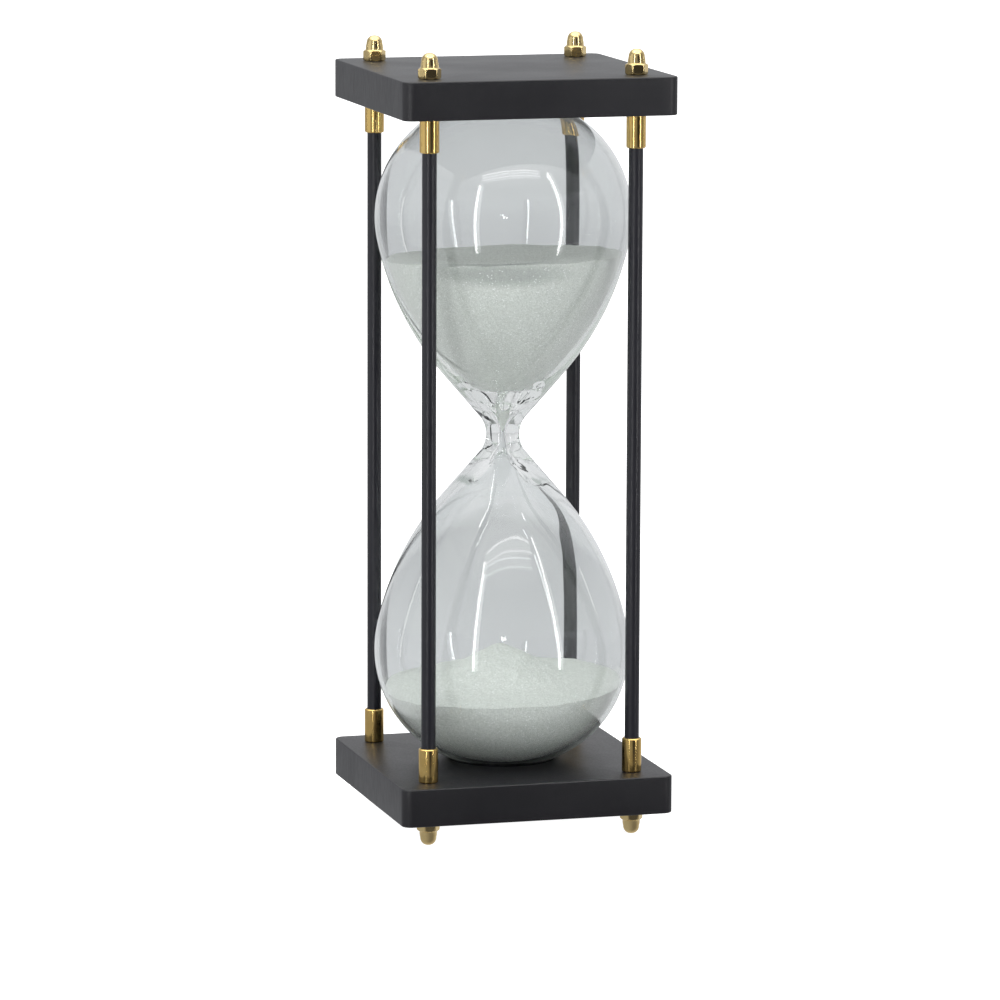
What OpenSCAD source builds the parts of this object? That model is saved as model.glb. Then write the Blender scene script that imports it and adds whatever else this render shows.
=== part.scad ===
// Sand hourglass: two square plates, four tie rods with ferrules and cap nuts,
// and one blown double bulb held between two pads.
// Millimetres. +Z is up, the front face looks along -Y, and the origin is under
// the middle of the base, level with the tips of the lower cap nuts.

/* [Plates] */
// Side of each square plate
plate_w = 110; // [108:0.5:120]
// Thickness of each plate
plate_t = 15; // [12:0.5:20]
// Radius of the upright corners
plate_corner_r = 4; // [3:0.5:8]
// Width of the bevel along the top and bottom edges
plate_bevel = 0.5; // [0.2:0.1:1]
// Free height between the two plates
plate_gap = 260; // [258:0.5:262]

/* [Tie rods] */
// Distance between the rod centres, the same both ways
rod_pitch = 83; // [80:0.5:84]
// Diameter of the black rod
rod_d = 5.7; // [5.4:0.1:6]
// Diameter of the threaded ends
thread_d = 5; // [4.6:0.1:5]
// How far a threaded end goes into its nut
thread_grip = 6.5; // [5:0.5:7]
// Diameter of the hole in a plate for a threaded end
rod_hole_d = 5.5; // [5.3:0.1:6]

/* [Ferrules] */
// Outside diameter of a ferrule
ferrule_d = 7.7; // [7.4:0.1:9]
// Length of a ferrule
ferrule_len = 13.5; // [11:0.5:16]
// Thickness of the wall that the rod's shoulder stands on
ferrule_seat = 3; // [2:0.5:4]
// Width of the bevel at both ends
ferrule_bevel = 0.4; // [0.2:0.1:0.6]

/* [Cap nuts] */
// Width across the flats of the hexagon
nut_flats = 8; // [8:0.5:9]
// Height of the hexagon
nut_hex_h = 4.2; // [3.6:0.1:4.8]
// Whole height of the nut
nut_h = 10; // [9.8:0.1:10.2]
// Diameter of the dome
nut_dome_d = 7; // [6.8:0.1:7.6]
// Depth of the threaded hole
nut_bore_h = 7.5; // [7.2:0.1:8]
// How far the chamfer comes down each corner of the hexagon
nut_chamfer = 0.5; // [0.3:0.1:0.8]
// Turn of the hexagon about its rod, in degrees
nut_turn = -7; // [-29:1:29]

/* [Glass] */
// Height from the waist to either end
glass_half = 133.2; // [132.6:0.1:133.6]
// Radius of the flat arc over each end
pole_r = 90; // [80:1:100]
// Where the flat arc ends, in degrees from the axis
pole_angle = 5.5; // [5:0.1:6]
// Radius of the arc round the widest part
shoulder_r = 46.5; // [46:0.1:47]
// Where the widest arc ends
shoulder_angle = 101.5; // [101:0.5:103]
// Radius of the long arc down to the waist
flank_r = 117; // [114:1:120]
// Radius of the glass at the waist
waist_r = 6.6; // [6.2:0.1:7.5]
// Radius of the hollow around the waist
waist_hollow_r = 11; // [9:0.5:12]
// Thickness of the glass wall
glass_wall = 1.1; // [0.9:0.1:1.5]
// Radius of the long arc on the inside, which thickens the wall below
inner_flank_r = 103; // [102:1:106]
// Where the long inside arc ends
funnel_angle = 138; // [136:0.5:139]
// Radius of the arc that rounds the funnel
funnel_r = 24; // [20:1:26]
// Radius of the lip where the funnel meets the throat
lip_r = 3.8; // [3:0.1:4.5]
// Radius of the throat at its narrowest
throat_r = 1.3; // [1:0.1:1.8]
// Radius of the arc that flares the throat
throat_flare_r = 36; // [30:1:40]
// Where the throat's flare meets the lip
throat_angle = 107.5; // [105:0.5:110]
// Diameter of the filling hole in the upper end
filler_d = 10; // [8:0.5:12]
// How far the plug reaches past the wall
plug_reach = 3; // [2:0.5:5]

/* [Seats] */
// Diameter of the round pocket in each plate
pocket_d = 43; // [40:1:50]
// Depth of the pocket
pocket_depth = 6; // [5:0.5:8]
// How far the pad stays below the plate's face
pad_drop = 0.5; // [0:0.1:1]
// Gap between the pad and the pocket's wall
pad_gap = 0.2; // [0.1:0.1:0.5]

/* [Sand] */
// Height of the upper sand where it meets the glass, above the waist
upper_rim = 71; // [60:1:75]
// Depth of the dip that the draining sand leaves
dip_depth = 5; // [0:0.5:8]
// Radius that the dip spreads over
dip_r = 24; // [15:1:30]
// Height of the lower sand where it meets the glass, above the lower end
lower_rim = 32; // [25:1:40]
// Rise of the gentle slope from the glass to the middle
heap_fan = 6; // [0:0.5:10]
// Rise of the fresh heap on top of it
heap_peak = 11; // [0:0.5:14]
// Radius that the fresh heap spreads over
heap_r = 16; // [12:1:24]

/* [Hidden] */
$fn = 96;
arc_steps = 18;      // straight lines in each arc of the glass outline
surface_steps = 24;  // straight lines in each sand surface
fit_gap = 0.05;      // running gap of a rod or thread in its hole
sand_gap = 0.15;     // air between the sand and the glass
over = 1;            // how far a cutting shape runs past what it cuts

base_z = nut_h;
base_top_z = base_z + plate_t;
cover_z = base_top_z + plate_gap;
cover_top_z = cover_z + plate_t;
waist_z = base_top_z + plate_gap / 2;
half_pitch = rod_pitch / 2;
bulb_r = plate_w / 2;  // wider than any part of the bulb

// Each corner: its name and its side along X and Y
CORNERS = [
    ["front_left", -1, -1],
    ["front_right", 1, -1],
    ["back_left", -1, 1],
    ["back_right", 1, 1],
];

// ---- The glass outline ----
// Half of the bulb's outline in a plane through the axis, as [radius, height above
// the waist]. It is a chain of arcs that run smoothly into each other. An angle is
// that of the outline's normal, measured from the axis. A hollow arc has a radius
// below zero.

function normal(a) = [sin(a), cos(a)];
// An arc's points. An arc that goes on from the one before leaves out its first point.
function arc(c, r, a0, a1, first = 1) =
    [for (i = [first:arc_steps]) c + r * normal(a0 + (a1 - a0) * i / arc_steps)];
// Centre of the arc of radius r2 that follows an arc of radius r1 at angle a
function next_centre(c, r1, r2, a) = c + (r1 - r2) * normal(a);
// Angle of the straight line that touches both arcs
function join_angle(c1, r1, c2, r2) =
    (atan2(c2.x - c1.x, c2.y - c1.y) - acos((r1 - r2) / norm(c2 - c1)) + 360) % 360;

pole_c = [0, glass_half - pole_r];
shoulder_c = next_centre(pole_c, pole_r, shoulder_r, pole_angle);
flank_c = next_centre(shoulder_c, shoulder_r, flank_r, shoulder_angle);
waist_c = [waist_r + waist_hollow_r, 0];
waist_angle = join_angle(flank_c, flank_r, waist_c, -waist_hollow_r);

inner_shoulder_r = shoulder_r - glass_wall;
inner_flank_c = next_centre(shoulder_c, inner_shoulder_r, inner_flank_r, shoulder_angle);
funnel_c = next_centre(inner_flank_c, inner_flank_r, funnel_r, funnel_angle);
throat_c = [throat_r + throat_flare_r, 0];
lip_c = next_centre(throat_c, -throat_flare_r, -lip_r, throat_angle);
lip_angle = join_angle(funnel_c, funnel_r, lip_c, -lip_r);

outer_half = concat(
    arc(pole_c, pole_r, 0, pole_angle, 0),
    arc(shoulder_c, shoulder_r, pole_angle, shoulder_angle),
    arc(flank_c, flank_r, shoulder_angle, waist_angle),
    arc(waist_c, -waist_hollow_r, waist_angle, 90, 0)
);
// The inside of the glass. More gap makes it smaller, for the sand.
function inner_half(gap = 0) = concat(
    arc(pole_c, pole_r - glass_wall - gap, 0, pole_angle, 0),
    arc(shoulder_c, inner_shoulder_r - gap, pole_angle, shoulder_angle),
    arc(inner_flank_c, inner_flank_r - gap, shoulder_angle, funnel_angle),
    arc(funnel_c, funnel_r - gap, funnel_angle, lip_angle),
    arc(lip_c, -lip_r - gap, lip_angle, throat_angle, 0),
    arc(throat_c, -throat_flare_r - gap, throat_angle, 90)
);

// The whole outline from a half that ends at the waist
function whole(half) = concat(half, [for (i = [len(half) - 2:-1:0]) [half[i].x, -half[i].y]]);
// The area between a half outline and the axis
module half_area(half) polygon(concat([[0, 0]], half));
module around_waist() translate([0, 0, waist_z]) rotate_extrude() children();

// ---- Plates ----
// The section of a plate of half width w, bevelled above and below
function plate_section(w) = [
    [0, 0],
    [w - plate_bevel, 0],
    [w, plate_bevel],
    [w, plate_t - plate_bevel],
    [w - plate_bevel, plate_t],
    [0, plate_t],
];

// A bevelled bar across the plate, between the rounded corners
module plate_bar() {
    bar = plate_w - 2 * plate_corner_r;
    for (side = [0, 1]) mirror([side, 0, 0])
        translate([0, bar / 2, 0]) rotate([90, 0, 0])
            linear_extrude(bar) polygon(plate_section(plate_w / 2));
}

module plate_blank() {
    corner = plate_w / 2 - plate_corner_r;
    plate_bar();
    rotate(90) plate_bar();
    for (c = CORNERS) translate([c[1] * corner, c[2] * corner, 0])
        rotate_extrude() polygon(plate_section(plate_corner_r));
}

// A plate with its pocket upwards
module plate() {
    color([0.16, 0.16, 0.17]) difference() {
        plate_blank();
        for (c = CORNERS) translate([c[1] * half_pitch, c[2] * half_pitch, -over])
            cylinder(d = rod_hole_d, h = plate_t + 2 * over);
        translate([0, 0, plate_t - pocket_depth]) cylinder(d = pocket_d, h = pocket_depth + over);
    }
}
module base_plate() translate([0, 0, base_z]) plate();
module top_plate() translate([0, 0, cover_top_z]) mirror([0, 0, 1]) plate();

// ---- Rods, ferrules and nuts ----
module at_corner(c, z = 0) translate([c[1] * half_pitch, c[2] * half_pitch, z]) children();

module tie_rod(c) {
    shoulder = plate_gap / 2 - ferrule_seat;
    tip = plate_gap / 2 + plate_t + thread_grip;
    thread_r = thread_d / 2;
    tip_bevel = thread_r / 4;
    half = [
        [0, tip],
        [thread_r - tip_bevel, tip],
        [thread_r, tip - tip_bevel],
        [thread_r, shoulder],
        [rod_d / 2, shoulder],
        [rod_d / 2, 0],
    ];
    color([0.1, 0.1, 0.12]) at_corner(c) around_waist() polygon(whole(half));
}

// A ferrule standing on its seat, with the rod coming out upwards
module ferrule() {
    r = ferrule_d / 2;
    hole_r = thread_d / 2 + fit_gap;
    bore_r = rod_d / 2 + fit_gap;
    color([0.78, 0.6, 0.28]) rotate_extrude() polygon([
        [hole_r, 0],
        [r - ferrule_bevel, 0],
        [r, ferrule_bevel],
        [r, ferrule_len - ferrule_bevel],
        [r - ferrule_bevel, ferrule_len],
        [bore_r, ferrule_len],
        [bore_r, ferrule_seat],
        [hole_r, ferrule_seat],
    ]);
}
module lower_ferrule(c) at_corner(c, base_top_z) ferrule();
module upper_ferrule(c) at_corner(c, cover_z) mirror([0, 0, 1]) ferrule();

// A nut standing on its seat, with the dome upwards
module cap_nut() {
    corner_r = nut_flats / 2 / cos(30);
    seat_r = nut_flats / 2 * 0.97;
    dome_r = nut_dome_d / 2;
    dome_z = nut_h - dome_r + dome_r / 14;  // the tip of the dome is cut to a small flat
    color([0.85, 0.72, 0.38]) difference() {
        union() {
            intersection() {
                rotate(nut_turn) cylinder(r = corner_r, h = nut_hex_h, $fn = 6);
                rotate_extrude() polygon([
                    [0, 0],
                    [seat_r, 0],
                    [corner_r, nut_chamfer],
                    [corner_r, nut_hex_h - nut_chamfer],
                    [seat_r, nut_hex_h],
                    [0, nut_hex_h],
                ]);
            }
            rotate_extrude() intersection() {
                union() {
                    square([dome_r, dome_z]);
                    translate([0, dome_z]) circle(dome_r);
                }
                square([dome_r, nut_h]);
            }
        }
        translate([0, 0, -over]) cylinder(d = thread_d + 2 * fit_gap, h = nut_bore_h + over);
    }
}
module lower_cap_nut(c) at_corner(c, base_z) mirror([0, 0, 1]) cap_nut();
module upper_cap_nut(c) at_corner(c, cover_top_z) cap_nut();

// ---- Glass and its seats ----
module glass_bulbs() color([0.8, 0.86, 0.84, 0.35]) around_waist() difference() {
    polygon(whole(outer_half));
    polygon(whole(inner_half()));
    translate([0, glass_half / 2]) square([filler_d / 2, glass_half]);
}

module filler_plug() color([0.9, 0.9, 0.88]) around_waist() intersection() {
    half_area(outer_half);
    plug_z = glass_half - glass_wall - plug_reach;
    translate([0, plug_z]) square([filler_d / 2, glass_half]);
}

// The pad in the upper plate, dished by the end of the glass. The lower one is its mirror image.
module pad_section() {
    difference() {
        translate([0, plate_gap / 2 + pad_drop])
            square([pocket_d / 2 - pad_gap, pocket_depth - pad_drop]);
        half_area(outer_half);
    }
}
module upper_seat_pad() color([0.08, 0.08, 0.08]) around_waist() pad_section();
module lower_seat_pad() color([0.08, 0.08, 0.08]) around_waist() mirror([0, 1]) pad_section();

// ---- Sand ----
// Height of each surface at radius r, from the waist
function dip(r) = upper_rim - dip_depth * exp(-pow(r / dip_r, 2));
function heap(r) =
    -glass_half + lower_rim + heap_fan * (1 - r / bulb_r) + heap_peak * exp(-pow(r / heap_r, 2));
surface_radii = [for (i = [0:surface_steps]) bulb_r * i / surface_steps];

module upper_sand() color([0.8, 0.83, 0.79]) around_waist() intersection() {
    half_area(inner_half(sand_gap));
    polygon(concat(
        [[0, over]],
        [for (r = surface_radii) [r, dip(r)]],
        [[bulb_r, over]]
    ));
}
module lower_sand() color([0.8, 0.83, 0.79]) around_waist() intersection() {
    mirror([0, 1]) half_area(inner_half(sand_gap));
    polygon(concat(
        [[0, -glass_half]],
        [for (r = surface_radii) [r, heap(r)]],
        [[bulb_r, -glass_half]]
    ));
}

// ---- The object ----
base_plate();
top_plate();
glass_bulbs();
filler_plug();
lower_seat_pad();
upper_seat_pad();
lower_sand();
upper_sand();
for (c = CORNERS) {
    tie_rod(c);
    lower_ferrule(c);
    upper_ferrule(c);
    lower_cap_nut(c);
    upper_cap_nut(c);
}
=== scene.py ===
import math

import bmesh
import bpy
import numpy as np
from mathutils import Euler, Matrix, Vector, noise


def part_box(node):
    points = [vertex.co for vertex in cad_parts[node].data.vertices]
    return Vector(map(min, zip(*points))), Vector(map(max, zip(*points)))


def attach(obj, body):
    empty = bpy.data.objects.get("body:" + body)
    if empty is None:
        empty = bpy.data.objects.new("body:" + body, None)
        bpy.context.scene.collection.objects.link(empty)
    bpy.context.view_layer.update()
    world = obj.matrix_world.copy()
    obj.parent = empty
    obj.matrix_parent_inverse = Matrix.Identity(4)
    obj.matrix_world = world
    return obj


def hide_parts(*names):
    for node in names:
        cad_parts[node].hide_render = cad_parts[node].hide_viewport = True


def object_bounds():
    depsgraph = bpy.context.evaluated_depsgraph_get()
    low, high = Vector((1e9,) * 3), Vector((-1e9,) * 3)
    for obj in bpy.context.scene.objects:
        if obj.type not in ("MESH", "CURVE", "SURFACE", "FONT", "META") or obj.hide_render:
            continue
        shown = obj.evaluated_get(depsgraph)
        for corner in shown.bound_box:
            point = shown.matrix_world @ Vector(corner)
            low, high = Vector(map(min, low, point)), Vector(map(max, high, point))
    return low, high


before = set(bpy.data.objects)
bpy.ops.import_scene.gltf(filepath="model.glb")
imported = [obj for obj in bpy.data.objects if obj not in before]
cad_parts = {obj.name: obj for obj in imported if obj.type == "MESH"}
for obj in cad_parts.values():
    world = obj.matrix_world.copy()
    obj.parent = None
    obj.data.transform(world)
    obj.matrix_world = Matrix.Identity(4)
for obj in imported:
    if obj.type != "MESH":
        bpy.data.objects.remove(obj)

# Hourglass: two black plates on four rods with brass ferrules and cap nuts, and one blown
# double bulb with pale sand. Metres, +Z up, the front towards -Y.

cad_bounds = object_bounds()
scene = bpy.context.scene
MM = 0.001

# ---- Sizes ----
# What the frame gives
base_low, base_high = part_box("base_plate")
cover_low, cover_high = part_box("top_plate")
rod_low, rod_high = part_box("tie_rod_back_right")
ferrule_low, ferrule_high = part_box("lower_ferrule_back_right")
nut_low, nut_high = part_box("upper_cap_nut_back_right")
glass_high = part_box("glass_bulbs")[1]
pad_low, pad_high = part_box("upper_seat_pad")
plug_low, plug_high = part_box("filler_plug")

PLATE_HALF = base_high.x
WAIST_Z = (base_high.z + cover_low.z) / 2
HALF_PITCH = (rod_low.x + rod_high.x) / 2
GLASS_HALF = glass_high.z - WAIST_Z
CORNERS = {
    "front_left": (-1, -1),
    "front_right": (1, -1),
    "back_left": (-1, 1),
    "back_right": (1, 1),
}

# Plates
PLATE_CORNER = 4 * MM       # radius of the upright corners
PLATE_EDGE = 0.6 * MM       # rounding of the edges
POCKET_R = 21.5 * MM
POCKET_DEPTH = 6 * MM
POCKET_EDGE = 0.4 * MM      # rounding of its rim and of its floor's edge
ROD_HOLE_R = 2.75 * MM

# Rods, ferrules and nuts
ROD_R = 2.85 * MM
THREAD_R = 2.5 * MM
THREAD_PITCH = 0.8 * MM
THREAD_DEPTH = 0.42 * MM
ROD_EDGE = 0.15 * MM
FIT_GAP = 0.05 * MM         # between a rod or thread and its hole
FERRULE_SEAT = 3 * MM       # how thick the ferrule is under the rod's shoulder
FERRULE_EDGE = 0.4 * MM
NUT_FLATS = 8 * MM
NUT_HEX_H = 4.2 * MM
NUT_FACE_SHARE = 0.97       # flat part of its end faces, of the width across the flats
NUT_CORNER = 0.12 * MM      # rounding of the six corners
NUT_CHAMFER = 0.5 * MM
NUT_NECK = 0.35 * MM        # height of the groove between hexagon and dome
NUT_DOME_R = 3.5 * MM
NUT_DOME_H = 3.1 * MM       # its round part
NUT_DOME_DRAFT = 0.3 * MM   # how much narrower the dome is where it turns round
NUT_DOME_POWER = 0.85       # 1 is a ball, and less is fuller
NUT_BORE_H = 7.5 * MM
NUT_TURN = -7               # how far it is screwed round, in degrees

# Glass: the radii of its arcs, and the angles from the axis where they meet. The throat is
# narrower than the CAD's, and the ends are thicker on the inside.
POLE_R = 90 * MM
POLE_ANGLE = 5.5
SHOULDER_R = 46.5 * MM
SHOULDER_ANGLE = 101.5
FLANK_R = 117 * MM
WAIST_R = 6.6 * MM
WAIST_HOLLOW_R = 11 * MM
GLASS_WALL = 1.1 * MM
GLASS_END = 0.5 * MM        # how much thicker the wall is at the ends
INNER_FLANK_R = 103 * MM
FUNNEL_ANGLE = 138
FUNNEL_R = 24 * MM
LIP_R = 3.8 * MM
THROAT_R = 0.8 * MM
THROAT_FLARE_R = 24 * MM
THROAT_ANGLE = 119
FILLER_R = 5 * MM
GLASS_STEP = 1.3 * MM       # length of the mesh's steps along an arc
SEATED_SHARE = 0.9          # beyond this share of its half height, it is even
# Unevenness of the wall, all in millimetres. Flutes and drawn waves are given as (their middle
# height over the waist, how far they spread from it, their depth).
SLOW_WAVES = 0.04           # depth over the whole wall
SHORT_WAVES = 0.01
UPPER_FLUTES = (14, 9, 0.8)    # on the inside
LOWER_FLUTES = (-8, 7, 0.5)
OUTER_FLUTES = 0.12            # their depth on the outside
DRAWN_WAVES = (-30, 16, 0.12)  # in both walls

# Pads and plug
PAD_EDGE = 0.6 * MM
PAD_LIP = 1 * MM            # width of the pad's rounded rim towards the glass
PLUG_TAPER = 0.6 * MM       # how much narrower the plug's lower end is
PLUG_TAPER_H = 1 * MM
PLUG_GAP = 0.05 * MM        # round it and over it

# Sand: heights from the waist, or from the lower end of the glass
SAND_GAP = 0.25 * MM
UPPER_RIM = 71 * MM
DIP_DEPTH = 5 * MM
DIP_R = 24 * MM
LOWER_RIM = 32 * MM
HEAP_FAN = 6 * MM
HEAP_PEAK = 11 * MM
HEAP_TIP = 2 * MM            # radius of its rounded tip
HEAP_FOOT = 0.7 * MM         # softness of its foot
GRAIN_STEP = 0.05 * MM       # how far the surface strays from grain to grain
REPOSE = 24                  # slope of the fresh heap, in degrees
UPPER_LEAN = (0.019, -0.042)  # rise of the upper surface along X and Y
LOWER_LEAN = (0.04, 0.02)
DIP_SHADE_MIDDLE = (-10 * MM, -36 * MM, UPPER_RIM - 2 * MM)  # middle of the patch of painted shade on the upper sand
DIP_SHADE_REACH = (28 * MM, 28 * MM, 6 * MM)  # how far it spreads along X, Y and Z


# ---- Node trees ----
def add(tree, kind, inputs=None, **settings):
    """Adds a shader node. An input is a value, or the socket that feeds it."""
    node = tree.nodes.new("ShaderNode" + kind)
    for key, value in settings.items():
        setattr(node, key, value)
    for key, value in (inputs or {}).items():
        if isinstance(value, bpy.types.NodeSocket):
            tree.links.new(value, node.inputs[key])
        else:
            node.inputs[key].default_value = value
    return node


def new_material(name, **sockets):
    """A material with one Principled shader, and its node tree."""
    material = bpy.data.materials.new(name)
    material.use_nodes = True
    tree = material.node_tree
    shader = tree.nodes["Principled BSDF"]
    for key, value in sockets.items():
        shader.inputs[key.replace("_", " ")].default_value = value
    return material, tree, shader


def local_place(tree, scale=(1, 1, 1)):
    """The place on the piece, moved by where the piece stands so that no two look the same."""
    here = add(tree, "TexCoord").outputs["Object"]
    stand = add(tree, "ObjectInfo").outputs["Location"]
    moved = add(tree, "VectorMath", {0: here, 1: stand}, operation="ADD")
    return add(tree, "Mapping", {"Vector": moved.outputs[0], "Scale": scale}).outputs[0]


def noise_at(tree, place, scale, detail=2):
    inputs = {"Vector": place, "Scale": scale, "Detail": detail}
    return add(tree, "TexNoise", inputs).outputs["Fac"]


def maths(tree, operation, first, second):
    return add(tree, "Math", {0: first, 1: second}, operation=operation).outputs[0]


def length_of(tree, place):
    """How far a place is from the origin."""
    return add(tree, "VectorMath", {0: place}, operation="LENGTH").outputs["Value"]


def span(tree, value, low, high, start=0.3, stop=0.7):
    """value from start to stop becomes low to high."""
    return add(tree, "MapRange", {
        "Value": value, "From Min": start, "From Max": stop, "To Min": low, "To Max": high,
    }).outputs[0]


def blend(tree, share, first, second):
    """first where share is 0, second where it is 1. Both are colours."""
    mix = add(tree, "Mix", data_type="RGBA")
    tree.links.new(share, mix.inputs["Factor"])
    for socket, value in ((mix.inputs[6], first), (mix.inputs[7], second)):
        if isinstance(value, bpy.types.NodeSocket):
            tree.links.new(value, socket)
        else:
            socket.default_value = value
    return mix.outputs[2]


def bump(tree, height, distance, strength=1.0, under=None):
    """A normal from a height, on top of the bump under it."""
    inputs = {"Height": height, "Distance": distance, "Strength": strength}
    if under is not None:
        inputs["Normal"] = under
    return add(tree, "Bump", inputs).outputs[0]


def rgb(red, green, blue):
    return (red, green, blue, 1)


def grey(shade):
    return rgb(shade, shade, shade)


# ---- Materials ----
def black_paint(name, dark, light, roughness, grain_scale):
    """Satin black paint. What is under it shows through as fine upright lines: the grain of
    the plates, or the drawing marks of the rods."""
    material, tree, shader = new_material(name, IOR=1.5)
    place = local_place(tree)
    upright = local_place(tree, grain_scale)
    grain = noise_at(tree, upright, 1, detail=3)
    peel = noise_at(tree, place, 2200, detail=1)
    cloud = noise_at(tree, place, 28, detail=4)
    tree.links.new(blend(tree, cloud, dark, light), shader.inputs["Base Color"])
    mixed = maths(tree, "ADD", cloud, grain)
    rough = span(tree, mixed, roughness - 0.05, roughness + 0.06, 0.7, 1.3)
    tree.links.new(rough, shader.inputs["Roughness"])
    lines = bump(tree, grain, 0.03 * MM, 0.8)
    tree.links.new(bump(tree, peel, 0.01 * MM, 0.5, lines), shader.inputs["Normal"])
    return material


def brass(name, colour, worn, roughness, groove, groove_depth):
    """Turned brass: fine rings from the tool round the axis, and a few cloudy patches."""
    material, tree, shader = new_material(name, Metallic=1.0)
    rings = noise_at(tree, local_place(tree, (30, 30, groove)), 1, detail=3)
    cloud = noise_at(tree, local_place(tree), 260, detail=4)
    scratch = noise_at(tree, local_place(tree, (5200, 5200, 350)), 1, detail=2)
    tree.links.new(blend(tree, span(tree, cloud, 0, 1), colour, worn), shader.inputs["Base Color"])
    mixed = maths(tree, "ADD", rings, cloud)
    rough = span(tree, mixed, roughness * 0.75, roughness * 1.35, 0.7, 1.3)
    tree.links.new(rough, shader.inputs["Roughness"])
    tooled = bump(tree, rings, groove_depth, 0.8)
    tree.links.new(bump(tree, scratch, groove_depth / 4, 0.5, tooled), shader.inputs["Normal"])
    return material


def clear_glass():
    """Faintly grey-green glass with very soft waves from blowing. Lamps shine through it, and
    light caught inside its wall leaves after a few reflections."""
    material, tree, shader = new_material(
        "clear_glass", Base_Color=rgb(0.829, 0.847, 0.852), Roughness=0.0, IOR=1.5,
        Transmission_Weight=1.0)
    wave = noise_at(tree, local_place(tree, (1, 1, 0.35)), 46, detail=1)
    tree.links.new(bump(tree, wave, 0.12 * MM, 0.35), shader.inputs["Normal"])
    path = add(tree, "LightPath")
    clear = add(tree, "BsdfTransparent", {"Color": rgb(0.86, 0.88, 0.87)})
    mix = add(tree, "MixShader")
    caught = maths(tree, "GREATER_THAN", path.outputs["Glossy Depth"], 3.5)
    free = maths(tree, "MAXIMUM", path.outputs["Is Shadow Ray"], caught)
    tree.links.new(free, mix.inputs[0])
    tree.links.new(shader.outputs[0], mix.inputs[1])
    tree.links.new(clear.outputs[0], mix.inputs[2])
    out = next(n for n in tree.nodes if n.type == "OUTPUT_MATERIAL")
    tree.links.new(mix.outputs[0], out.inputs["Surface"])
    return material


def sand():
    """Pale green-grey sand: every grain has its own shade, and some of them glint."""
    material, tree, shader = new_material("sand", IOR=1.45)
    place = local_place(tree)
    grains = add(tree, "TexVoronoi", {"Vector": place, "Scale": 2900}, feature="F1")
    grain_shade = add(tree, "SeparateColor", {0: grains.outputs["Color"]})
    drift = noise_at(tree, place, 70, detail=3)
    tone = blend(tree, grain_shade.outputs[0], rgb(0.56, 0.576, 0.536), rgb(0.8, 0.816, 0.775))
    even = blend(tree, span(tree, drift, 0, 0.2), tone, rgb(0.68, 0.704, 0.657))
    flakes = add(tree, "TexVoronoi", {"Vector": place, "Scale": 1900}, feature="F1")
    flake_shade = add(tree, "SeparateColor", {0: flakes.outputs["Color"]})
    rare = span(tree, flake_shade.outputs[0], 0, 1, 0.93, 0.95)
    near = span(tree, flakes.outputs["Distance"], 1, 0, 0.35, 0.5)
    spot = maths(tree, "MULTIPLY", rare, near)
    # Painted shade: a darker patch on the sand in the front of the upper bulb's dip, just under its
    # rim
    here = add(tree, "TexCoord").outputs["Object"]
    apart = add(tree, "VectorMath", {0: here, 1: DIP_SHADE_MIDDLE}, operation="SUBTRACT")
    shares = add(tree, "VectorMath", {0: apart.outputs[0], 1: DIP_SHADE_REACH}, operation="DIVIDE")
    # how much of the painted shade each place gets, most at the patch's middle
    fine = span(tree, length_of(tree, shares.outputs[0]), 0.45, 0, 0.5, 1.05)
    even = blend(tree, fine, even, rgb(0.12, 0.13, 0.12))
    tree.links.new(blend(tree, spot, even, rgb(1, 1, 0.98)), shader.inputs["Base Color"])
    glint = span(tree, grain_shade.outputs[1], 0.75, 0.12, 0.9, 1.0)
    tree.links.new(glint, shader.inputs["Roughness"])
    tree.links.new(bump(tree, grains.outputs["Distance"], 0.06 * MM, 0.45), shader.inputs["Normal"])
    return material


def foam():
    """Closed-cell black foam with fine open pores on its cut faces."""
    material, tree, shader = new_material("black_foam", IOR=1.4)
    place = local_place(tree)
    cells = add(tree, "TexVoronoi", {"Vector": place, "Scale": 2400}, feature="F1")
    dirt = noise_at(tree, place, 120, detail=3)
    shade = blend(tree, span(tree, dirt, 0, 1), rgb(0.012, 0.012, 0.013), rgb(0.03, 0.03, 0.031))
    tree.links.new(shade, shader.inputs["Base Color"])
    tree.links.new(span(tree, dirt, 0.75, 0.95), shader.inputs["Roughness"])
    tree.links.new(bump(tree, cells.outputs["Distance"], 0.15 * MM), shader.inputs["Normal"])
    return material


def silicone():
    """Milky moulded silicone with a faint matt texture."""
    material, tree, shader = new_material("milky_silicone", IOR=1.42)
    place = local_place(tree)
    fine = noise_at(tree, place, 1800, detail=2)
    cloud = noise_at(tree, place, 150, detail=3)
    shade = blend(tree, span(tree, cloud, 0, 1), rgb(0.62, 0.63, 0.6), rgb(0.74, 0.75, 0.72))
    tree.links.new(shade, shader.inputs["Base Color"])
    tree.links.new(span(tree, fine, 0.4, 0.6), shader.inputs["Roughness"])
    tree.links.new(bump(tree, fine, 0.02 * MM, 0.5), shader.inputs["Normal"])
    return material


# ---- Mesh building ----
def new_mesh(name, rings, closed=False, smooth_below=35):
    """A skin over rings of points. A ring drawn together in one point is a pole."""
    rings = np.asarray(rings, float)
    count, around = rings.shape[:2]
    here = np.arange(count * around).reshape(count, around)
    if not closed:
        low, high = here[:-1], here[1:]
    else:
        low, high = here, np.roll(here, -1, axis=0)
    quads = np.stack(
        [low, np.roll(low, -1, axis=1), np.roll(high, -1, axis=1), high], axis=-1
    ).reshape(-1, 4)
    mesh = bpy.data.meshes.new(name)
    mesh.from_pydata(rings.reshape(-1, 3).tolist(), [], quads.tolist())
    work = bmesh.new()
    work.from_mesh(mesh)
    bmesh.ops.remove_doubles(work, verts=work.verts, dist=1e-3 * MM)
    bmesh.ops.recalc_face_normals(work, faces=work.faces)
    work.to_mesh(mesh)
    work.free()
    mesh.shade_smooth()
    mesh.set_sharp_from_angle(angle=math.radians(smooth_below))
    return mesh


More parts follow.
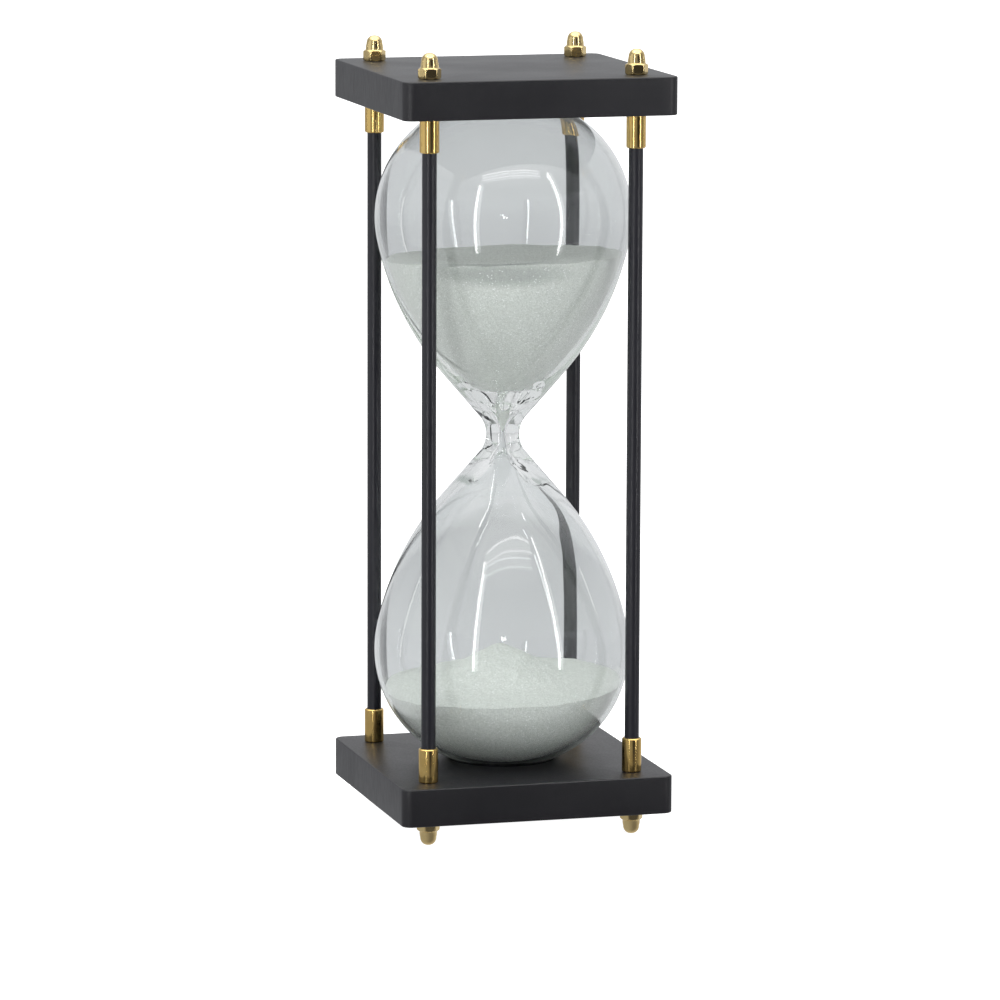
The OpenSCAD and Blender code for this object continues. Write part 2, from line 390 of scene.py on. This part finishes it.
def place_piece(name, mesh, material, nodes, location=(0, 0, 0), turn=(0, 0, 0)):
    """One piece of the object, standing for its CAD nodes."""
    piece = bpy.data.objects.new(name, mesh)
    scene.collection.objects.link(piece)
    if not mesh.materials:
        mesh.materials.append(material)
    piece.location = location
    piece.rotation_euler = Euler([math.radians(t) for t in turn])
    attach(piece, "root")
    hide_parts(*nodes)
    return piece


def headings(angles):
    """Directions at the given angles round the axis."""
    return np.stack([np.cos(angles), np.sin(angles)], axis=-1)


def circle(around):
    """Directions round the axis, evenly spread."""
    return headings(np.arange(around) * 2 * math.pi / around)


def turned(profile, around):
    """Rings of a solid of revolution from its (radius, height) profile."""
    directions = circle(around)
    return [
        np.column_stack([directions * radius, np.full(around, height)])
        for radius, height in profile
    ]


def rounded(corners, steps=4):
    """A closed outline of (radius, height, fillet) corners, with its corners rounded."""
    points = []
    for i, (x, y, fillet) in enumerate(corners):
        here = Vector((x, y))
        if fillet == 0:
            points.append((x, y))
            continue
        back = (Vector(corners[i - 1][:2]) - here).normalized()
        ahead = (Vector(corners[(i + 1) % len(corners)][:2]) - here).normalized()
        half = back.angle(ahead) / 2
        centre = here + (back + ahead).normalized() * fillet / math.sin(half)
        start = here + back * fillet / math.tan(half) - centre
        stop = here + ahead * fillet / math.tan(half) - centre
        points += [tuple(centre + start.slerp(stop, k / steps) * fillet) for k in range(steps + 1)]
    return points


def cut(mesh, holes, name):
    """mesh with holes taken out of it. Each is a mesh and its place."""
    body = bpy.data.objects.new(name, mesh)
    scene.collection.objects.link(body)
    for hole, place in holes:
        tool = bpy.data.objects.new("hole", hole)
        tool.location = place
        scene.collection.objects.link(tool)
        step = body.modifiers.new("cut", "BOOLEAN")
        step.operation = "DIFFERENCE"
        step.solver = "EXACT"
        step.object = tool
    bpy.context.view_layer.update()
    graph = bpy.context.evaluated_depsgraph_get()
    result = bpy.data.meshes.new_from_object(body.evaluated_get(graph))
    for step in list(body.modifiers):
        bpy.data.objects.remove(step.object)
    bpy.data.objects.remove(body)
    return result


# ---- Plates ----
def square_radius(directions, half, corner):
    """How far a square of half width, with round corners, reaches in each direction."""
    flat = half - corner
    x, y = np.abs(directions[:, 0]), np.abs(directions[:, 1])
    side = half / np.maximum(x, y)
    along = flat * (x + y)
    bend = along + np.sqrt(np.maximum(along ** 2 - 2 * flat ** 2 + corner ** 2, 0))
    short = np.minimum(x, y) * side
    return np.where(short <= flat, side, bend)


def plate_angles():
    """Directions that are close together round the corners of the plate."""
    flat = math.degrees(math.atan2(PLATE_HALF - PLATE_CORNER, PLATE_HALF))
    side = np.linspace(-flat, flat, 41)
    corner = np.linspace(flat, 90 - flat, 15)[1:-1]
    quarter = np.concatenate([side, corner])
    return headings(np.radians(np.concatenate([quarter + 90 * k for k in range(4)])))


def plate_mesh():
    """A plate with its pocket upwards, its underside at height 0."""
    thick = base_high.z - base_low.z
    directions = plate_angles()
    floor = thick - POCKET_DEPTH
    # Each ring is (whether it is square, its radius or its inset from the sides, height)
    profile = [(False, 0, 0), (False, POCKET_R, 0)]
    edge = np.radians(np.linspace(0, 90, 7))
    profile += [(True, PLATE_EDGE * (1 - math.sin(a)), PLATE_EDGE * (1 - math.cos(a))) for a in edge]
    profile += [(True, PLATE_EDGE * (1 - math.cos(a)), thick - PLATE_EDGE * (1 - math.sin(a)))
                for a in edge]
    profile += [(False, POCKET_R + POCKET_EDGE * (1 - math.sin(a)),
                 thick - POCKET_EDGE * (1 - math.cos(a))) for a in edge]
    profile += [(False, POCKET_R - POCKET_EDGE * (1 - math.cos(a)),
                 floor + POCKET_EDGE * (1 - math.sin(a))) for a in edge]
    profile += [(False, 0, floor)]
    rings = []
    for square, size, height in profile:
        if square:
            reach = square_radius(directions, PLATE_HALF - size, PLATE_CORNER - size)
        else:
            reach = np.full(len(directions), size)
        rings.append(np.column_stack([directions * reach[:, None], np.full(len(directions), height)]))
    blank = new_mesh("plate", rings)
    drill = new_mesh("drill", turned(
        [(0, -thick), (ROD_HOLE_R, -thick), (ROD_HOLE_R, 2 * thick), (0, 2 * thick)], 48))
    holes = [(drill, (x * HALF_PITCH, y * HALF_PITCH, 0)) for x, y in CORNERS.values()]
    return cut(blank, holes, "plate")


def add_plates(paint):
    mesh = plate_mesh()
    mesh.shade_smooth()
    mesh.set_sharp_from_angle(angle=math.radians(28))
    place_piece("base_plate_board", mesh, paint, ["base_plate"], (0, 0, base_low.z))
    place_piece("top_plate_board", mesh, paint, ["top_plate"],
                (0, 0, cover_high.z), (180, 0, 0))


# ---- Rods, ferrules and nuts ----
def threaded(radius, start, stop, around, outside=True):
    """Rings of a screw thread from height start to stop, running out flat at both ends."""
    steps_a_turn = 6
    count = round(abs(stop - start) / THREAD_PITCH * steps_a_turn)
    directions = circle(around)
    turn_share = np.arange(around) / around
    rings = []
    for k in range(count + 1):
        height = start + (stop - start) * k / count
        phase = (height / THREAD_PITCH - turn_share) % 1
        tooth = 1 - np.abs(2 * phase - 1)
        fade = min(k, count - k, steps_a_turn) / steps_a_turn
        depth = THREAD_DEPTH * np.clip(1.25 * tooth - 0.12, 0, 1) * fade
        reach = radius - depth if outside else radius + depth
        rings.append(np.column_stack([directions * reach[:, None], np.full(around, height)]))
    return rings


def rod_mesh():
    """A rod round its own middle, with a thread at both ends."""
    around = 40
    tip = rod_high.z - WAIST_Z
    shoulder = cover_low.z - WAIST_Z - FERRULE_SEAT
    bevel = THREAD_R / 4
    upper = turned([
        (ROD_R, 0), (ROD_R, shoulder / 2), (ROD_R, shoulder - ROD_EDGE),
        (ROD_R - ROD_EDGE, shoulder), (THREAD_R, shoulder),
    ], around)
    upper += threaded(THREAD_R, shoulder + ROD_EDGE, tip - bevel, around)
    upper += turned([(THREAD_R - bevel, tip), (0, tip)], around)
    lower = [ring * (1, 1, -1) for ring in upper[:0:-1]]
    return new_mesh("rod", lower + upper, smooth_below=30)


def ferrule_mesh():
    """A ferrule standing on its seat, with the rod coming out upwards."""
    length = ferrule_high.z - ferrule_low.z
    radius = (ferrule_high.x - ferrule_low.x) / 2
    hole = THREAD_R + FIT_GAP
    bore = ROD_R + FIT_GAP
    outline = rounded([
        (hole, 0, 0.1 * MM),
        (radius - FERRULE_EDGE, 0, 0.08 * MM),
        (radius, FERRULE_EDGE, 0.12 * MM),
        (radius, length - FERRULE_EDGE, 0.12 * MM),
        (radius - FERRULE_EDGE, length, 0.08 * MM),
        (bore, length, 0.12 * MM),
        (bore, FERRULE_SEAT, 0),
        (hole, FERRULE_SEAT, 0.05 * MM),
    ])
    return new_mesh("ferrule", turned(outline, 96), closed=True, smooth_below=25)


def hex_radius(directions, flats, round_r):
    """How far a hexagon with slightly round corners reaches in each direction."""
    angles = np.degrees(np.arctan2(directions[:, 1], directions[:, 0]))
    off_flat = np.radians((angles % 60) - 30)
    sharp = flats / 2 / np.cos(off_flat)
    limit = flats / 2 / math.cos(math.radians(30)) - round_r
    return np.minimum(sharp, limit + (sharp - limit) * 0.25)


def nut_mesh():
    """A cap nut standing on its seat: hexagon, neck groove, dome and a threaded blind hole."""
    around = 96
    height = nut_high.z - nut_low.z
    directions = circle(around)
    corner = NUT_FLATS / 2 / math.cos(math.radians(30))
    face_r = NUT_FLATS / 2 * NUT_FACE_SHARE
    hexagon = hex_radius(directions, NUT_FLATS, NUT_CORNER)

    def ring(limit, z):
        reach = np.minimum(hexagon, limit)
        return np.column_stack([directions * reach[:, None], np.full(around, z)])

    hole = THREAD_R + FIT_GAP
    bore_edge = 0.3 * MM
    rings = turned([(hole + bore_edge, 0)], around)
    rings += [ring(face_r, 0)]
    for share in (0.35, 0.7, 1):
        rings.append(ring(face_r + (corner - face_r) * share, NUT_CHAMFER * share))
    rings.append(ring(corner, NUT_HEX_H / 2))
    for share in (1, 0.7, 0.35, 0):
        rings.append(ring(face_r + (corner - face_r) * share, NUT_HEX_H - NUT_CHAMFER * share))
    foot = NUT_HEX_H + NUT_NECK
    straight = height - NUT_DOME_H
    top_r = NUT_DOME_R - NUT_DOME_DRAFT
    profile = [
        (face_r - 0.15 * MM, NUT_HEX_H + 0.04 * MM),
        (NUT_DOME_R + 0.12 * MM, NUT_HEX_H + 0.12 * MM),
        (NUT_DOME_R, foot),
        (NUT_DOME_R - 0.06 * MM, (foot + straight) / 2),
    ]
    for angle in np.linspace(0, 90, 21):
        a = math.radians(angle)
        profile.append((top_r * math.cos(a) ** NUT_DOME_POWER,
                        straight + (height - straight) * math.sin(a)))
    profile[-1] = (0, height)
    outside = rings + turned(profile, around)
    inside = threaded(hole, bore_edge, NUT_BORE_H - 1 * MM, around, outside=False)
    inside += turned([(hole, NUT_BORE_H - 0.6 * MM), (hole * 0.9, NUT_BORE_H), (0, NUT_BORE_H)],
                     around)
    return new_mesh("cap_nut", inside[::-1] + outside, smooth_below=32)


def add_metalwork(rod_paint, satin_brass, bright_brass):
    rod, ferrule, nut = rod_mesh(), ferrule_mesh(), nut_mesh()
    for corner, (x, y) in CORNERS.items():
        at = Vector((x * HALF_PITCH, y * HALF_PITCH, 0))
        place_piece(f"rod_{corner}", rod, rod_paint, [f"tie_rod_{corner}"],
                    at + Vector((0, 0, WAIST_Z)))
        place_piece(f"ferrule_low_{corner}", ferrule, satin_brass,
                    [f"lower_ferrule_{corner}"], at + Vector((0, 0, base_high.z)))
        place_piece(f"ferrule_high_{corner}", ferrule, satin_brass,
                    [f"upper_ferrule_{corner}"], at + Vector((0, 0, cover_low.z)), (180, 0, 0))
        place_piece(f"nut_high_{corner}", nut, bright_brass,
                    [f"upper_cap_nut_{corner}"], at + Vector((0, 0, cover_high.z)),
                    (0, 0, NUT_TURN))
        place_piece(f"nut_low_{corner}", nut, bright_brass,
                    [f"lower_cap_nut_{corner}"], at + Vector((0, 0, base_low.z)),
                    (180, 0, NUT_TURN))


# ---- Glass ----
def normal(angle):
    return np.array([math.sin(math.radians(angle)), math.cos(math.radians(angle))])


def arc(centre, radius, start, stop):
    """Points of an arc. Its angles are those of its normal from the axis, and a radius below
    zero makes it hollow."""
    sweep = math.radians(abs(stop - start))
    steps = max(math.ceil(sweep * abs(radius) / GLASS_STEP), math.ceil(sweep / math.radians(4)))
    return [centre + radius * normal(start + (stop - start) * k / steps) for k in range(steps + 1)]


def next_centre(centre, radius, next_radius, angle):
    return centre + (radius - next_radius) * normal(angle)


def join_angle(centre, radius, other, other_radius):
    """Angle of the straight line that touches both arcs."""
    x, y = other - centre
    across = math.degrees(math.acos((radius - other_radius) / math.hypot(x, y)))
    return (math.degrees(math.atan2(x, y)) - across) % 360


def glass_outlines(gap=0.0):
    """Upper half of the outer outline and of the inner one, as (radius, height over the waist).
    More gap makes the inner one smaller, for the sand."""
    pole = np.array([0, GLASS_HALF - POLE_R])
    shoulder = next_centre(pole, POLE_R, SHOULDER_R, POLE_ANGLE)
    flank = next_centre(shoulder, SHOULDER_R, FLANK_R, SHOULDER_ANGLE)
    waist = np.array([WAIST_R + WAIST_HOLLOW_R, 0])
    waist_angle = join_angle(flank, FLANK_R, waist, -WAIST_HOLLOW_R)
    outer = (
        arc(pole, POLE_R, 0, POLE_ANGLE)
        + arc(shoulder, SHOULDER_R, POLE_ANGLE, SHOULDER_ANGLE)[1:]
        + arc(flank, FLANK_R, SHOULDER_ANGLE, waist_angle)[1:]
        + arc(waist, -WAIST_HOLLOW_R, waist_angle, 90)
    )
    inner_shoulder_r = SHOULDER_R - GLASS_WALL
    inner_flank = next_centre(shoulder, inner_shoulder_r, INNER_FLANK_R, SHOULDER_ANGLE)
    funnel = next_centre(inner_flank, INNER_FLANK_R, FUNNEL_R, FUNNEL_ANGLE)
    throat = np.array([THROAT_R + THROAT_FLARE_R, 0])
    lip = next_centre(throat, -THROAT_FLARE_R, -LIP_R, THROAT_ANGLE)
    lip_angle = join_angle(funnel, FUNNEL_R, lip, -LIP_R)
    inner = (
        arc(pole, POLE_R - GLASS_WALL - gap, 0, POLE_ANGLE)
        + arc(shoulder, inner_shoulder_r - gap, POLE_ANGLE, SHOULDER_ANGLE)[1:]
        + arc(inner_flank, INNER_FLANK_R - gap, SHOULDER_ANGLE, FUNNEL_ANGLE)[1:]
        + arc(funnel, FUNNEL_R - gap, FUNNEL_ANGLE, lip_angle)[1:]
        + arc(lip, -LIP_R - gap, lip_angle, THROAT_ANGLE)
        + arc(throat, -THROAT_FLARE_R - gap, THROAT_ANGLE, 90)[1:]
    )
    inner = np.array(inner)
    ends = inner[:, 1] > shoulder[1]
    squash = 1 - GLASS_END / (GLASS_HALF - GLASS_WALL - shoulder[1])
    inner[ends, 1] = shoulder[1] + (inner[ends, 1] - shoulder[1]) * squash
    return np.array(outer), inner


def whole(half):
    """A half outline that ends at the waist, and its mirror image below."""
    return np.concatenate([half, half[-2::-1] * (1, -1)])


def glass_mesh():
    """One closed wall: up the outside, over the rim of the filling hole, down the inside."""
    around = 160
    outer, inner = glass_outlines()

    def opened(line):
        """line from the rim of the filling hole on."""
        first = int(np.argmax(line[:, 0] > FILLER_R))
        share = FILLER_R / line[first][0]
        height = line[0][1] + (line[first][1] - line[0][1]) * share ** 2
        return np.concatenate([[(FILLER_R, height)], line[first:]])

    outside = opened(whole(outer))
    inside = opened(whole(inner))
    profile = np.concatenate([outside[::-1], inside])
    rings = np.array(turned(profile, around))
    # Blowing leaves the wall a little uneven, and its inside most of all round the neck. The
    # waves are about 30, 9 and 2 mm across.
    for k, ring in enumerate(rings):
        z = ring[0][2]
        if abs(z) > GLASS_HALF * SEATED_SHARE:
            continue
        inside_wall = k >= len(outside)
        centre, spread, flutes = UPPER_FLUTES if z > 0 else LOWER_FLUTES
        near_neck = math.exp(-((z / MM - centre) / spread) ** 2)
        centre, spread, waves = DRAWN_WAVES
        drawn = math.exp(-((z / MM - centre) / spread) ** 2)
        for point in ring:
            reach = math.hypot(point[0], point[1])
            slow = noise.noise(Vector((point[0], point[1], point[2] * 0.5)) * 32)
            middle = noise.noise(Vector((point[0], point[1], point[2] * 0.7)) * 110)
            quick = noise.noise(Vector((point[0] * 450, point[1] * 450, point[2] * 170)))
            move = SLOW_WAVES * slow + (SHORT_WAVES + waves * drawn) * middle
            if inside_wall:
                move += flutes * near_neck * abs(quick)
            else:
                move += OUTER_FLUTES * near_neck * quick
            point[:2] *= 1 + move * MM / reach
    return new_mesh("glass", rings, smooth_below=50)


def add_glass(material):
    place_piece("glass_double_bulb", glass_mesh(), material, ["glass_bulbs"],
                (0, 0, WAIST_Z))


# ---- Sand ----
WALL_OF_SAND = glass_outlines(SAND_GAP)[1]


def wall_radius(height):
    """Radius of the sand against the glass at a height over the waist."""
    return np.interp(height, WALL_OF_SAND[::-1, 1], WALL_OF_SAND[::-1, 0])


def ripple(x, y, size, depth, seed):
    """A soft unevenness with waves of the given size. The seed gives each surface its own."""
    return depth * noise.fractal(Vector((x / size, y / size, seed)), 0.6, 2.1, 4)


def upper_surface(x, y):
    """Height of the upper sand, which dips in the middle and leans a little."""
    r = math.hypot(x, y)
    return (UPPER_RIM - DIP_DEPTH * math.exp(-(r / DIP_R) ** 2)
            + UPPER_LEAN[0] * x + UPPER_LEAN[1] * y + ripple(x, y, 18 * MM, 0.5 * MM, 3.1))


def lower_surface(x, y):
    """Height of the lower sand, counted from the waist: a fan with a fresh heap on it."""
    r = math.hypot(x, y)
    uneven = ripple(x, y, 16 * MM, 1 * MM, 5.3)
    fall = math.tan(math.radians(REPOSE)) * (math.hypot(r, HEAP_TIP) - HEAP_TIP)
    cone = HEAP_PEAK + uneven - fall
    cone = HEAP_FOOT * math.log1p(math.exp(min(cone / HEAP_FOOT, 40)))
    fan = HEAP_FAN * (1 - r / PLATE_HALF)
    return (-GLASS_HALF + LOWER_RIM + fan + cone + LOWER_LEAN[0] * x + LOWER_LEAN[1] * y
            + ripple(x, y, 24 * MM, 0.6 * MM, 8.7))


def sand_mesh(name, surface, end_height, steps_up, seed):
    """Sand from end_height, the end of its body on the axis, to its free surface."""
    around, steps_in = 288, 84
    random = np.random.default_rng(seed)
    directions = circle(around)
    # The heights at which the surface meets the glass, closer with every round
    rims = np.full(around, surface(0, 0))
    for _ in range(6):
        reach = wall_radius(np.abs(rims))
        rims = np.array([surface(*(d * r)) for d, r in zip(directions, reach)])
    reach = wall_radius(np.abs(rims))
    rings = [np.tile([0, 0, end_height], (around, 1))]
    for k in range(1, steps_up + 1):
        share = k / steps_up
        heights = end_height + (rims - end_height) * share
        radius = wall_radius(np.abs(heights))
        rings.append(np.column_stack([directions * radius[:, None], heights]))
    for k in range(1, steps_in + 1):
        share = 1 - k / steps_in
        points = directions * (reach * share)[:, None]
        heights = np.array([surface(*p) for p in points])
        if 0 < share < 0.995:
            heights += random.normal(0, GRAIN_STEP, around)
        rings.append(np.column_stack([points, heights]))
    return new_mesh(name, rings, smooth_below=80)


def add_sand(material):
    upper = sand_mesh("upper_sand", upper_surface, 1 * MM, 60, 11)
    lower = sand_mesh("lower_sand", lower_surface, -WALL_OF_SAND[0][1], 40, 12)
    place_piece("sand_above", upper, material, ["upper_sand"], (0, 0, WAIST_Z))
    place_piece("sand_below", lower, material, ["lower_sand"], (0, 0, WAIST_Z))


# ---- Pads and plug ----
def add_pads(material):
    outer = glass_outlines()[0]
    radius = (pad_high.x - pad_low.x) / 2
    face = pad_low.z - WAIST_Z
    back = pad_high.z - WAIST_Z
    dish = [p for p in outer if p[1] >= face and p[0] < radius]
    profile = [
        (0, back),
        (radius - PAD_EDGE, back),
        (radius, back - PAD_EDGE),
        (radius, face + PAD_LIP * 0.8),
        (radius - PAD_LIP * 0.3, face + PAD_LIP * 0.2),
        (radius - PAD_LIP, face),
    ]
    profile += [tuple(p) for p in dish[::-1]]
    mesh = new_mesh("pad", turned(profile, 96), smooth_below=40)
    for side, node, turn in (("above", "upper_seat_pad", 0), ("below", "lower_seat_pad", 180)):
        pad = place_piece(f"pad_{side}", mesh, material, [node], (0, 0, WAIST_Z), (turn, 0, 0))


def add_plug(material):
    radius = (plug_high.x - plug_low.x) / 2 - PLUG_GAP
    low, high = plug_low.z, plug_high.z - PLUG_GAP
    outline = rounded([
        (0, low, 0),
        (radius - PLUG_TAPER, low, 0.4 * MM),
        (radius, low + PLUG_TAPER_H, 0.3 * MM),
        (radius, high - 0.1 * MM, 0.1 * MM),
        (0, high, 0),
    ])
    mesh = new_mesh("plug", turned(outline, 64), smooth_below=40)
    place_piece("filling_plug", mesh, material, ["filler_plug"])


# ---- The object ----
satin_black = black_paint("satin_black_lacquer", rgb(0.0036, 0.0034, 0.0046),
                          rgb(0.0058, 0.0056, 0.007), 0.4, (1500, 1500, 220))
rod_black = black_paint("blue_black_enamel", rgb(0.004, 0.004, 0.0062),
                        rgb(0.0065, 0.0065, 0.0095), 0.33, (900, 900, 120))
satin_brass = brass("satin_brass", rgb(0.78, 0.55, 0.2), rgb(0.7, 0.47, 0.16), 0.15, 6000, 0.01 * MM)
bright_brass = brass("bright_brass", rgb(0.87, 0.68, 0.33), rgb(0.8, 0.6, 0.27), 0.11, 3500,
                     0.004 * MM)

add_plates(satin_black)
add_metalwork(rod_black, satin_brass, bright_brass)
add_glass(clear_glass())
add_sand(sand())
add_pads(foam())
add_plug(silicone())


# ---- Camera ----
VIEW_TURN = 15.971      # degrees from the front towards the left side
VIEW_RISE = 9.207       # degrees above the level
VIEW_ROLL = 0.214       # degrees
VIEW_DISTANCE = 2359.45 * MM
VIEW_RIGHT = 1.01 * MM  # how far right of the picture's middle the object's middle is
VIEW_UP = 26.28 * MM    # and how far above it
LENS = 214.8            # focal length in millimetres
SENSOR = 36


def add_camera():
    turn, rise = math.radians(VIEW_TURN), math.radians(VIEW_RISE)
    back = Vector((-math.sin(turn) * math.cos(rise), -math.cos(turn) * math.cos(rise), math.sin(rise)))
    camera = bpy.data.objects.new("camera", bpy.data.cameras.new("camera"))
    scene.collection.objects.link(camera)
    camera.data.lens = LENS
    camera.data.sensor_width = SENSOR
    look = back.to_track_quat("Z", "Y").to_matrix()
    roll = Euler((0, 0, math.radians(VIEW_ROLL))).to_matrix()
    pose = look @ roll
    middle = Vector((0, 0, (cad_bounds[0][2] + cad_bounds[1][2]) / 2))
    camera.location = middle + pose @ Vector((-VIEW_RIGHT, -VIEW_UP, VIEW_DISTANCE))
    camera.rotation_euler = pose.to_euler()
    scene.camera = camera


add_camera()


# ---- Studio ----
FLOOR_R = 14            # metres
DARK_CARD_TURN = 25     # degrees round from the camera, to its right


def add_floor():
    """A pale disc that glows. It is white to the camera. Through the glass it is darker, and
    lighter again far away."""
    disc = new_mesh("floor", turned([(0, 0), (FLOOR_R, 0)], 128))
    floor = bpy.data.objects.new("floor", disc)
    scene.collection.objects.link(floor)
    material, tree, shader = new_material("pale_floor", Roughness=0.9)
    place = add(tree, "TexCoord").outputs["Object"]
    shade = noise_at(tree, place, 3, detail=3)
    tree.links.new(blend(tree, shade, grey(0.44), grey(0.46)), shader.inputs["Base Color"])
    shader.inputs["Emission Color"].default_value = grey(1)
    path = add(tree, "LightPath")
    through_glass = span(tree, length_of(tree, place), 0, 0.24, 1.4, 2.4)
    glow = span(tree, path.outputs["Is Transmission Ray"], 0.5, through_glass, 0, 1)
    seen = maths(tree, "MULTIPLY", path.outputs["Is Camera Ray"], 0.5)
    tree.links.new(maths(tree, "ADD", glow, seen), shader.inputs["Emission Strength"])
    disc.materials.append(material)
    floor.visible_glossy = False


def add_lamp(name, turn, low, high, width, radiance, distance=0.52, aim_z=None,
             roll=0, shines_on="glossy transmission"):
    """A softbox turn degrees round from the camera, to its right, between two heights.
    It looks level, or at the height aim_z on the object's axis, and is rolled clockwise."""
    angle = math.radians(VIEW_TURN - turn)
    middle = (low + high) / 2
    data = bpy.data.lights.new(name, "AREA")
    data.shape = "RECTANGLE"
    data.size = width
    data.size_y = high - low
    data.energy = radiance * math.pi * width * (high - low)
    lamp = bpy.data.objects.new(name, data)
    scene.collection.objects.link(lamp)
    lamp.location = (-distance * math.sin(angle), -distance * math.cos(angle), middle)
    aim = Vector((0, 0, middle if aim_z is None else aim_z)) - lamp.location
    look = aim.to_track_quat("-Z", "Y") @ Euler((0, 0, math.radians(-roll))).to_quaternion()
    lamp.rotation_euler = look.to_euler()
    lamp.visible_camera = False
    lamp.visible_diffuse = "diffuse" in shines_on
    lamp.visible_glossy = "glossy" in shines_on
    lamp.visible_transmission = "transmission" in shines_on


def add_world():
    """The room in reflections: dim in front, less so on the left, light behind and bright above,
    with one dark card. Through the glass it is a pale tent, and to the camera it is white."""
    world = bpy.data.worlds.new("studio")
    scene.world = world
    world.use_nodes = True
    tree = world.node_tree
    tree.nodes.clear()
    sight = add(tree, "TexCoord").outputs["Generated"]
    way = add(tree, "SeparateXYZ", {0: sight})
    back = span(tree, way.outputs["Y"], 0, 1, -0.6, 0.7)
    room = blend(tree, back, rgb(0.22, 0.22, 0.235), rgb(0.71, 0.72, 0.74))
    left = span(tree, way.outputs["X"], 1, 0, -0.8, 0.2)
    room = blend(tree, left, room, rgb(0.4, 0.41, 0.425))
    dark_turn = math.radians(VIEW_TURN - DARK_CARD_TURN)
    dark_way = (-math.sin(dark_turn), -math.cos(dark_turn), 0)
    facing = add(tree, "VectorMath", {0: sight, 1: dark_way}, operation="DOT_PRODUCT")
    unlit = span(tree, facing.outputs["Value"], 0, 1, 0.93, 0.98)
    room = blend(tree, unlit, room, rgb(0.04, 0.04, 0.045))
    top = span(tree, way.outputs["Z"], 0, 1, 0.55, 0.85)
    room = blend(tree, top, room, grey(2.2))
    path = add(tree, "LightPath")
    tent = blend(tree, back, rgb(0.72, 0.725, 0.73), rgb(0.88, 0.885, 0.89))
    inside = maths(tree, "GREATER_THAN", path.outputs["Glossy Depth"], 2.5)
    through = maths(tree, "MAXIMUM", path.outputs["Is Transmission Ray"], inside)
    shown = blend(tree, through, room, tent)
    shown = blend(tree, path.outputs["Is Camera Ray"], shown, grey(1))
    background = add(tree, "Background", {"Color": shown, "Strength": 1.0})
    out = add(tree, "OutputWorld")
    tree.links.new(background.outputs[0], out.inputs["Surface"])


def add_lamps():
    # Long upright strips on both sides, each with a wider, dimmer one behind it
    for side, turn, top in (("left", -24, 0.61), ("right", 51, 0.73)):
        add_lamp(f"strip_{side}", turn, -0.02, top, 0.017, 11)
        add_lamp(f"halo_{side}", turn + 1, -0.02, top + 0.02, 0.05, 2.2, distance=0.53)
    # High narrow lamps on both sides
    add_lamp("high_left", -48, 0.85, 1.6, 0.03, 9)
    add_lamp("high_right", 54, 0.92, 1.15, 0.03, 9)
    # A wide lamp high in front, with a bright upper and lower edge: the arcs high in each bulb
    for name, low, high, radiance in (
        ("bars_glow", 1.17, 1.35, 1.2), ("bar_high", 1.355, 1.38, 4), ("bar_low", 1.165, 1.185, 2.5),
    ):
        add_lamp(name, 9, low, high, 1.2, radiance, distance=0.9, aim_z=0.2, roll=-3)
    # Dim lamps out at the sides, which show only in reflections
    for side in (-1, 1):
        add_lamp(f"side_{side}", 100 * side, 0.0, 0.36, 0.02, 2.2, distance=0.6, shines_on="glossy")
    add_lamp("panel_left", -72, -0.02, 0.7, 0.5, 0.35, distance=0.7, shines_on="glossy")
    # Two small lamps near the camera's line of sight: the sparks in the middle of each bulb
    add_lamp("spark_0", 0.5, 0.335, 0.36, 0.026, 22, distance=0.956)
    add_lamp("spark_1", 3, 0.34, 0.36, 0.02, 22, distance=0.956)
    # Light that shows in no reflection: high in front, still higher for the lower heap, behind
    # on the left for the upper sand, and low at both sides
    add_lamp("fill_high", -15, 0.55, 1.15, 0.8, 5.6, distance=0.85, aim_z=0.15, shines_on="diffuse")
    add_lamp("fill_heap", -15, 1.25, 1.6, 0.6, 6, distance=0.85, aim_z=0.05, shines_on="diffuse")
    add_lamp("fill_top", -115, 0.5, 0.95, 0.5, 5, distance=0.8, aim_z=0.2, shines_on="diffuse")
    for side in (-1, 1):
        add_lamp(f"fill_{side}", 60 * side, 0.0, 0.42, 0.6, 3.6, distance=0.8, shines_on="diffuse")


add_floor()
add_lamps()
add_world()
scene.view_settings.view_transform = "Standard"
